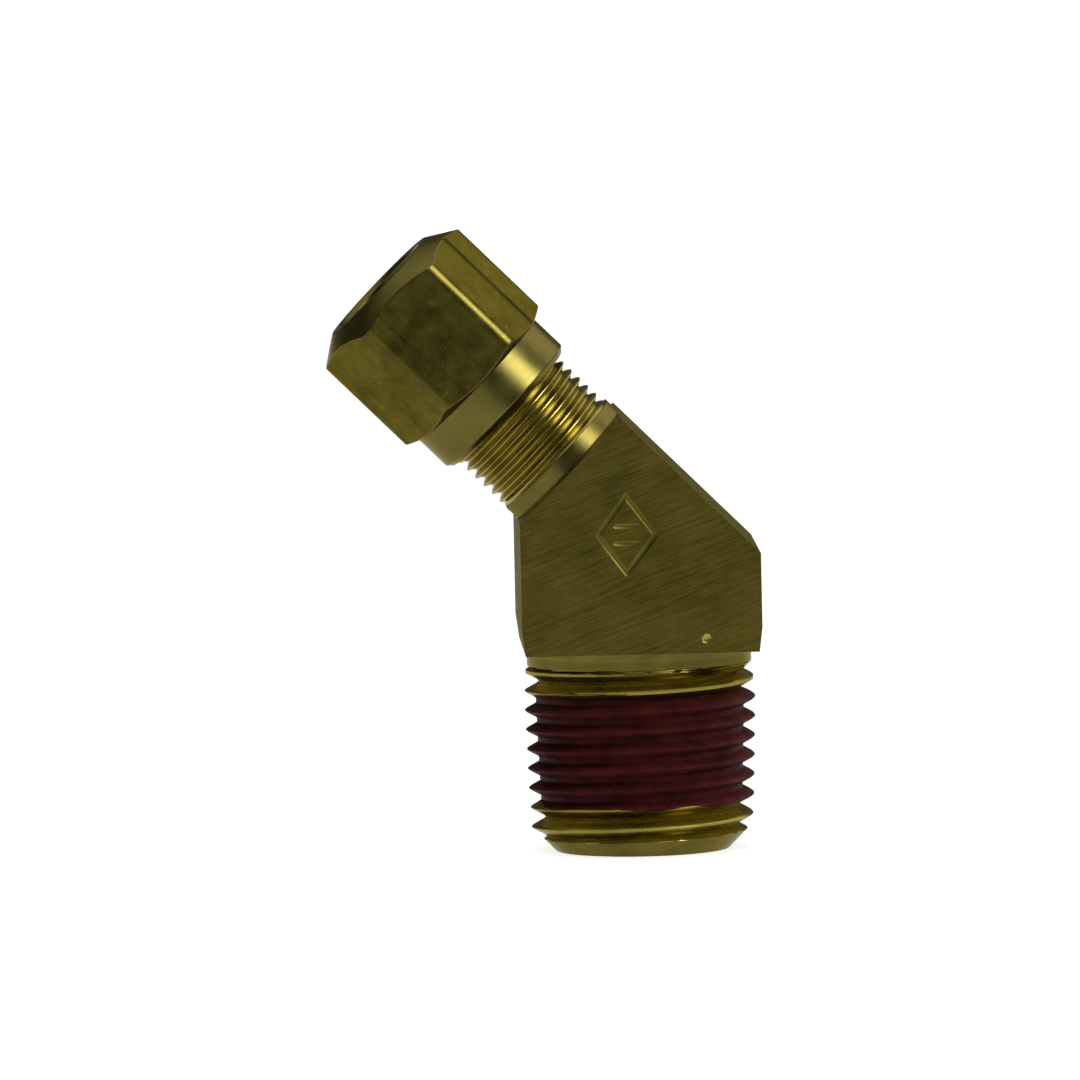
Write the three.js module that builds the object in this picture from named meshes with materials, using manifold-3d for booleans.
// 45 degree male elbow for nylon tube: a taper pipe thread below, a compression end above.
// Millimetres. +Z runs up the pipe thread from the centre of its end face. +X is to the right
// and +Y to the back when the elbow is seen from its marked side.
import * as THREE from "three";
import Module from "manifold-3d";

const wasm = await Module();
wasm.setup();

const INCH = 25.4;
const ROUND_STEPS = 48; // facets round a turned outer surface
const INNER_STEPS = 32; // facets round a bore or an inner piece
const THREAD_STEPS = 24; // facets in one turn of a thread
const OVERLAP = 0.5; // how far one solid runs past another that it is joined to or cut from

// Pipe end: 1/2-14 taper pipe thread, right-hand.
const PIPE_PITCH = INCH / 14;
const PIPE_TAPER = 1 / 32; // radius gained for each mm of length
const PIPE_PITCH_RADIUS = 9.58; // at the end face
const PIPE_HEIGHT = 0.8 * PIPE_PITCH;
const PIPE_CREST_FLAT = 0.12;
const PIPE_PHASE = 1.37; // z of a crest at +X, near the end face
const PIPE_FACE_RADIUS = 8.06; // where the 45 degree lead-in starts
const PIPE_BORE_RADIUS = 5.2;
const THREAD_TOP = 17.4; // the valley has run out into the neck
const TOP_CREST_RADIUS = 10.6; // the last crests are cut short by the neck's tool
const TOP_CREST_START = 15.3;
const RUN_OUT = 0.65;
const NECK_RADIUS = 10.45;
const NECK_TOP = 18.3;

// Block: cut from a flat-sided brass profile.
const BLOCK_BOTTOM = 0.75 * INCH;
const BLOCK_HALF_WIDTH = (7 / 16) * INCH;
const BLOCK_HALF_DEPTH = (7 / 16) * INCH;
const CORNER_RELIEF = 0.3;
const CORNER_RELIEF_HEIGHT = 2.3;

// Tube end: its axis leaves the pipe axis at TUBE_CENTRE_HEIGHT and leans 45 degrees to -X.
// Distances along it are counted from the pipe axis.
const TUBE_CENTRE_HEIGHT = 29.55;
const TUBE_LEAN = -Math.PI / 4;
const ARM_TOP = 6.9; // from the tube axis to the slanted face
const ARM_BOTTOM = 6.6;
const BLOCK_END = 10.5;
const BAND_START = 9.1; // the block is turned down to a plain band from here to its end
const BAND_RADIUS = 7.2;
const STUB_END = 23.0;
const SOCKET_FLOOR = 13.5;
const SOCKET_RADIUS = 4.9;
const SEAT_RADIUS = 5.75;
const SEAT_DEPTH = 2.0;
const TUBE_BORE_RADIUS = 3.55;

// Tube-end thread: 17/32-24, right-hand.
const STUB_PITCH = INCH / 24;
const STUB_CREST_RADIUS = (17 / 64) * INCH;
const STUB_HEIGHT = 0.6134 * STUB_PITCH;
const STUB_CREST_FLAT = STUB_PITCH / 8;
const THREAD_CLEARANCE = 0.1;

// Compression nut, as it sits 2.5 turns short of tight.
const NUT_START = 16.6;
const NUT_LENGTH = 16.6;
const NUT_FLATS = (5 / 8) * INCH;
const NUT_CORNERS = 17.87; // across the dulled corners of the drawn bar
const NUT_TURN = THREE.MathUtils.degToRad(4.15); // from facing the front squarely
const NUT_FACE_RADIUS = 6.2;
const NUT_CHAMFER_ANGLE = THREE.MathUtils.degToRad(33);
const NUT_SHOULDER_ANGLE = THREE.MathUtils.degToRad(28);
const COLLAR_RADIUS = 7.75;
const COLLAR_LENGTH = 3.9;
const COLLAR_CHAMFER = 0.5;
const NUT_THREAD_LENGTH = 9.0;
const NUT_CAVITY_RADIUS = 6.3;
const NUT_CAVITY_DEPTH = 12.6;
const NUT_CONE_DEPTH = 1.7;
const TUBE_HOLE_RADIUS = 4.95;
const HOLE_CHAMFER = 0.35;

// Sleeve that grips the tube, captive between the nut and the seat.
const SLEEVE_START = 24.6;
const SLEEVE_LENGTH = 5.6;
const SLEEVE_BORE_RADIUS = 4.85;
const SLEEVE_RADIUS = 5.6;
const SLEEVE_TIP_RADIUS = 5.1;
const SLEEVE_FRONT_TAPER = 1.6;
const SLEEVE_BACK_TAPER = 1.0;

// Tube support: a flanged liner that stands in the socket, inside the tube.
const SUPPORT_START = SOCKET_FLOOR + 0.05;
const SUPPORT_FLANGE = 0.9;
const SUPPORT_FLANGE_RADIUS = 4.6;
const SUPPORT_LENGTH = 16.0;
const SUPPORT_RADIUS = 3.1;
const SUPPORT_BORE_RADIUS = 2.6;

// Thread sealant: a cured film over the middle turns of the pipe thread.
const SEALANT_BOTTOM = 4.0;
const SEALANT_TOP = 14.7;
const SEALANT_GAP = 0.05;
const SEALANT_CREST = 0.14;
const SEALANT_VALLEY = 0.4;

const BRASS = { color: 0x8a7a34, roughness: 0.32, metalness: 1 };
const SEALANT_RED = { color: 0x5a1216, roughness: 0.45, metalness: 0 };

// Closed solid from vertices and triangles that share them.
function solidFrom(positions, triangles) {
  return new wasm.Manifold(
    new wasm.Mesh({
      numProp: 3,
      vertProperties: new Float32Array(positions),
      triVerts: new Uint32Array(triangles),
    }),
  );
}

// Solid from a three.js geometry whose vertices are not shared between faces.
function solidOf(geometry) {
  const source = geometry.index ? geometry.toNonIndexed() : geometry;
  const corners = source.getAttribute("position");
  const seen = new Map();
  const positions = [];
  const triangles = [];
  for (let i = 0; i < corners.count; i++) {
    const corner = [corners.getX(i), corners.getY(i), corners.getZ(i)];
    const key = corner.map((value) => Math.round(value * 1e4)).join();
    if (!seen.has(key)) {
      seen.set(key, positions.length / 3);
      positions.push(...corner);
    }
    triangles.push(seen.get(key));
  }
  const solid = solidFrom(positions, triangles);
  return solid.volume() < 0 ? solidFrom(positions, triangles.reverse()) : solid;
}

function meshOf(name, solid, look) {
  const data = solid.getMesh();
  const geometry = new THREE.BufferGeometry();
  geometry.setAttribute("position", new THREE.BufferAttribute(data.vertProperties, 3));
  geometry.setIndex(new THREE.BufferAttribute(data.triVerts, 1));
  geometry.computeVertexNormals();
  const mesh = new THREE.Mesh(geometry, new THREE.MeshStandardMaterial(look));
  mesh.name = name;
  return mesh;
}

// Solid of revolution about +Z from [radius, height] pairs.
function turned(profile, steps = ROUND_STEPS) {
  const points = profile.map(([radius, height]) => new THREE.Vector2(radius, height));
  return solidOf(new THREE.LatheGeometry(points, steps).rotateX(Math.PI / 2));
}

function cylinder(radius, bottom, top) {
  return turned([
    [0, bottom],
    [radius, bottom],
    [radius, top],
    [0, top],
  ]);
}

// Right-hand threaded rod about +Z. One crest passes +X at height `phase`.
function threadedRod({ pitch, crest, height, crestFlat, flank, phase, bottom, top, taper = 0 }) {
  const rows = [-crestFlat / 2 - flank, -crestFlat / 2, crestFlat / 2, crestFlat / 2 + flank];
  const depths = [height, 0, 0, height];
  const startTurn = Math.floor((bottom - phase) / pitch) - 2;
  const steps = THREAD_STEPS * (Math.ceil((top - phase) / pitch) + 2 - startTurn);
  const positions = [];
  const place = (step, row) => {
    const lift = row < rows.length ? rows[row] : rows[0] + pitch;
    const z = phase + (startTurn + step / THREAD_STEPS) * pitch + lift;
    const radius = crest + taper * z - depths[row % rows.length];
    const angle = (2 * Math.PI * (step % THREAD_STEPS)) / THREAD_STEPS;
    positions.push(radius * Math.cos(angle), radius * Math.sin(angle), z);
  };
  for (let step = 0; step <= steps; step++) {
    rows.forEach((_, row) => place(step, row));
  }
  for (let step = steps - THREAD_STEPS + 1; step <= steps; step++) {
    place(step, rows.length);
  }
  const id = (step, row) => {
    if (row < rows.length) return rows.length * step + row;
    const next = step + THREAD_STEPS;
    return next <= steps ? rows.length * next : rows.length * (steps + 1) + next - steps - 1;
  };
  const low = positions.length / 3;
  positions.push(0, 0, phase + startTurn * pitch + rows[0]);
  positions.push(0, 0, phase + (startTurn + steps / THREAD_STEPS + 1) * pitch + rows[0]);
  const high = low + 1;
  const triangles = [];
  for (let step = 0; step < steps; step++) {
    for (let row = 0; row < rows.length; row++) {
      triangles.push(id(step, row), id(step + 1, row), id(step + 1, row + 1));
      triangles.push(id(step, row), id(step + 1, row + 1), id(step, row + 1));
    }
  }
  for (let step = 0; step < THREAD_STEPS; step++) {
    const last = steps - THREAD_STEPS + step;
    triangles.push(low, id(step + 1, 0), id(step, 0));
    triangles.push(high, id(last, rows.length), id(last + 1, rows.length));
  }
  for (let row = 0; row < rows.length; row++) {
    triangles.push(low, id(0, row), id(0, row + 1));
    triangles.push(high, id(steps, row + 1), id(steps, row));
  }
  return solidFrom(positions, triangles);
}

// Pipe thread, grown by `crestGrowth` at its crests and `valleyGrowth` in its valleys.
function pipeThread(crestGrowth = 0, valleyGrowth = 0) {
  const height = PIPE_HEIGHT + crestGrowth - valleyGrowth;
  const crestFlat = PIPE_CREST_FLAT + crestGrowth;
  return threadedRod({
    pitch: PIPE_PITCH,
    crest: PIPE_PITCH_RADIUS + PIPE_HEIGHT / 2 + crestGrowth,
    height,
    crestFlat,
    flank: (PIPE_PITCH - crestFlat - PIPE_CREST_FLAT) / 2,
    phase: PIPE_PHASE,
    bottom: 0,
    top: BLOCK_BOTTOM,
    taper: PIPE_TAPER,
  });
}

// Tube-end thread, grown all over by `growth` for the thread cut inside the nut.
function stubThread(growth = 0) {
  return threadedRod({
    pitch: STUB_PITCH,
    crest: STUB_CREST_RADIUS + growth,
    height: STUB_HEIGHT,
    crestFlat: STUB_CREST_FLAT + growth,
    flank: STUB_HEIGHT * Math.tan(Math.PI / 6),
    phase: 0,
    bottom: BLOCK_END,
    top: NUT_START + NUT_THREAD_LENGTH,
  });
}

const tubeFrame = new THREE.Matrix4()
  .makeTranslation(0, 0, TUBE_CENTRE_HEIGHT)
  .multiply(new THREE.Matrix4().makeRotationY(TUBE_LEAN));

// Moves a solid from the tube axis to where that axis lies in the elbow.
function onTubeAxis(solid) {
  return solid.transform(tubeFrame.elements);
}

// Point of the block's outline at a distance along the tube axis and to one side of it.
function outlinePoint(along, aside) {
  const point = new THREE.Vector3(aside, 0, along).applyMatrix4(tubeFrame);
  return [point.x, point.z];
}

function extrudeInY(outline, halfDepth) {
  const shape = new THREE.Shape(outline.map(([x, z]) => new THREE.Vector2(x, z)));
  const geometry = new THREE.ExtrudeGeometry(shape, {
    depth: 2 * halfDepth,
    bevelEnabled: false,
  });
  return solidOf(geometry.translate(0, 0, -halfDepth).rotateX(Math.PI / 2));
}

function block() {
  const armTop = outlinePoint(BLOCK_END, ARM_TOP);
  const armBottom = outlinePoint(BLOCK_END, -ARM_BOTTOM);
  const rightCorner = armTop[0] + armTop[1] - BLOCK_HALF_WIDTH;
  const leftCorner = armBottom[0] + armBottom[1] + BLOCK_HALF_WIDTH;
  const outline = [
    [-BLOCK_HALF_WIDTH + CORNER_RELIEF, BLOCK_BOTTOM],
    [BLOCK_HALF_WIDTH - CORNER_RELIEF, BLOCK_BOTTOM],
    [BLOCK_HALF_WIDTH, BLOCK_BOTTOM + CORNER_RELIEF_HEIGHT],
    [BLOCK_HALF_WIDTH, rightCorner],
    armTop,
    armBottom,
    [-BLOCK_HALF_WIDTH, leftCorner],
    [-BLOCK_HALF_WIDTH, BLOCK_BOTTOM + CORNER_RELIEF_HEIGHT],
  ];
  const reach = 3 * BLOCK_HALF_WIDTH;
  const shoulder = turned([
    [0, -reach],
    [reach, -reach],
    [reach, BAND_START],
    [BAND_RADIUS, BAND_START],
    [BAND_RADIUS, BLOCK_END],
    [0, BLOCK_END],
  ]);
  return extrudeInY(outline, BLOCK_HALF_DEPTH).intersect(onTubeAxis(shoulder));
}

function pipeEnd() {
  const reach = BLOCK_HALF_WIDTH;
  const envelope = turned([
    [0, 0],
    [PIPE_FACE_RADIUS, 0],
    [reach, reach - PIPE_FACE_RADIUS],
    [reach, TOP_CREST_START],
    [TOP_CREST_RADIUS, TOP_CREST_START],
    [TOP_CREST_RADIUS, THREAD_TOP],
    [0, THREAD_TOP],
  ]);
  const neck = turned([
    [0, THREAD_TOP - RUN_OUT],
    [NECK_RADIUS - RUN_OUT, THREAD_TOP - RUN_OUT],
    [NECK_RADIUS, THREAD_TOP],
    [NECK_RADIUS, NECK_TOP],
    [BLOCK_HALF_WIDTH - CORNER_RELIEF, BLOCK_BOTTOM],
    [BLOCK_HALF_WIDTH - CORNER_RELIEF, BLOCK_BOTTOM + OVERLAP],
    [0, BLOCK_BOTTOM + OVERLAP],
  ]);
  return pipeThread().intersect(envelope).add(neck);
}

function stub() {
  const chamfer = STUB_HEIGHT;
  const envelope = turned([
    [0, BLOCK_END - STUB_PITCH],
    [STUB_CREST_RADIUS + OVERLAP, BLOCK_END - STUB_PITCH],
    [STUB_CREST_RADIUS + OVERLAP, STUB_END - chamfer - OVERLAP],
    [STUB_CREST_RADIUS - chamfer, STUB_END],
    [0, STUB_END],
  ]);
  return stubThread().intersect(envelope);
}

// Everything drilled along the tube axis: the sleeve's seat, the socket and the way through.
function tubeBores() {
  const seatSlope = (SEAT_RADIUS - SOCKET_RADIUS) / SEAT_DEPTH;
  return turned([
    [0, 0],
    [TUBE_BORE_RADIUS, 0],
    [TUBE_BORE_RADIUS, SOCKET_FLOOR],
    [SOCKET_RADIUS, SOCKET_FLOOR],
    [SOCKET_RADIUS, STUB_END - SEAT_DEPTH],
    [SEAT_RADIUS + seatSlope * OVERLAP, STUB_END + OVERLAP],
    [0, STUB_END + OVERLAP],
  ], INNER_STEPS);
}

function pipeBore() {
  const drillPoint = PIPE_BORE_RADIUS * Math.tan(Math.PI / 6);
  return turned([
    [0, -OVERLAP],
    [PIPE_BORE_RADIUS, -OVERLAP],
    [PIPE_BORE_RADIUS, TUBE_CENTRE_HEIGHT],
    [0, TUBE_CENTRE_HEIGHT + drillPoint],
  ], INNER_STEPS);
}

function elbowBody() {
  return block()
    .add(pipeEnd())
    .add(onTubeAxis(stub()))
    .subtract(onTubeAxis(tubeBores()))
    .subtract(pipeBore());
}

// Film over the pipe thread: the grown thread less a slightly grown copy of the thread itself.
function threadSealant() {
  const band = cylinder(BLOCK_HALF_WIDTH, SEALANT_BOTTOM, SEALANT_TOP);
  return pipeThread(SEALANT_CREST, SEALANT_VALLEY)
    .intersect(band)
    .subtract(pipeThread(SEALANT_GAP, SEALANT_GAP));
}

// Hexagonal bar along the axis. Unturned, one flat faces the front.
function hexagonBar(flats, turn, bottom, top) {
  const corner = flats / Math.sqrt(3);
  const bar = new THREE.CylinderGeometry(corner, corner, top - bottom, 6, 1, false, Math.PI / 6)
    .rotateX(Math.PI / 2)
    .rotateZ(turn)
    .translate(0, 0, (bottom + top) / 2);
  return solidOf(bar);
}

function nutHexagon() {
  const end = NUT_START + NUT_LENGTH;
  const start = NUT_START + COLLAR_LENGTH;
  const reach = NUT_FLATS / Math.sqrt(3) + OVERLAP;
  const envelope = turned([
    [0, start],
    [COLLAR_RADIUS, start],
    [reach, start + (reach - COLLAR_RADIUS) * Math.tan(NUT_SHOULDER_ANGLE)],
    [reach, end - (reach - NUT_FACE_RADIUS) * Math.tan(NUT_CHAMFER_ANGLE)],
    [NUT_FACE_RADIUS, end],
    [0, end],
  ]);
  return hexagonBar(NUT_FLATS, NUT_TURN, start, end)
    .intersect(hexagonBar(NUT_CORNERS, NUT_TURN + Math.PI / 6, start - OVERLAP, end + OVERLAP))
    .intersect(envelope);
}

function nutCollar() {
  return turned([
    [0, NUT_START],
    [COLLAR_RADIUS - COLLAR_CHAMFER, NUT_START],
    [COLLAR_RADIUS, NUT_START + COLLAR_CHAMFER],
    [COLLAR_RADIUS, NUT_START + COLLAR_LENGTH + OVERLAP],
    [0, NUT_START + COLLAR_LENGTH + OVERLAP],
  ]);
}

// Inside of the nut, from the threaded mouth to the hole for the tube.
function nutBores() {
  const end = NUT_START + NUT_LENGTH;
  const cavityEnd = NUT_START + NUT_CAVITY_DEPTH;
  const threadEnd = NUT_START + NUT_THREAD_LENGTH;
  const entry = STUB_CREST_RADIUS + 2 * THREAD_CLEARANCE;
  const profile = [
    [0, NUT_START - OVERLAP],
    [entry + OVERLAP, NUT_START - OVERLAP],
    [TUBE_HOLE_RADIUS, NUT_START + entry - TUBE_HOLE_RADIUS],
    [TUBE_HOLE_RADIUS, threadEnd],
    [NUT_CAVITY_RADIUS, threadEnd],
    [NUT_CAVITY_RADIUS, cavityEnd],
    [TUBE_HOLE_RADIUS, cavityEnd + NUT_CONE_DEPTH],
    [TUBE_HOLE_RADIUS, end - HOLE_CHAMFER],
    [TUBE_HOLE_RADIUS + 2 * HOLE_CHAMFER, end + HOLE_CHAMFER],
    [0, end + HOLE_CHAMFER],
  ];
  const threaded = cylinder(NUT_FLATS, NUT_START - STUB_PITCH, threadEnd);
  return turned(profile, INNER_STEPS).add(stubThread(THREAD_CLEARANCE).intersect(threaded));
}

function compressionNut() {
  return nutHexagon().add(nutCollar()).subtract(nutBores());
}

function sleeve() {
  const end = SLEEVE_START + SLEEVE_LENGTH;
  return turned([
    [SLEEVE_BORE_RADIUS, SLEEVE_START],
    [SLEEVE_TIP_RADIUS, SLEEVE_START],
    [SLEEVE_RADIUS, SLEEVE_START + SLEEVE_FRONT_TAPER],
    [SLEEVE_RADIUS, end - SLEEVE_BACK_TAPER],
    [SLEEVE_TIP_RADIUS, end],
    [SLEEVE_BORE_RADIUS, end],
    [SLEEVE_BORE_RADIUS, SLEEVE_START],
  ], INNER_STEPS);
}

function tubeSupport() {
  const end = SUPPORT_START + SUPPORT_LENGTH;
  const taper = 0.3;
  return turned([
    [SUPPORT_BORE_RADIUS, SUPPORT_START],
    [SUPPORT_FLANGE_RADIUS, SUPPORT_START],
    [SUPPORT_FLANGE_RADIUS, SUPPORT_START + SUPPORT_FLANGE],
    [SUPPORT_RADIUS, SUPPORT_START + SUPPORT_FLANGE],
    [SUPPORT_RADIUS, end - 2 * taper],
    [SUPPORT_RADIUS - taper, end],
    [SUPPORT_BORE_RADIUS, end],
    [SUPPORT_BORE_RADIUS, SUPPORT_START],
  ], INNER_STEPS);
}

const elbow = new THREE.Group();
elbow.name = "male_elbow_45";
elbow.add(meshOf("elbow_body", elbowBody(), BRASS));
elbow.add(meshOf("thread_sealant", threadSealant(), SEALANT_RED));

const tubeEnd = new THREE.Group();
tubeEnd.name = "tube_end";
tubeEnd.position.z = TUBE_CENTRE_HEIGHT;
tubeEnd.rotation.y = TUBE_LEAN;
tubeEnd.add(meshOf("compression_nut", compressionNut(), BRASS));
tubeEnd.add(meshOf("sleeve", sleeve(), BRASS));
tubeEnd.add(meshOf("tube_support", tubeSupport(), BRASS));
elbow.add(tubeEnd);

export default elbow;
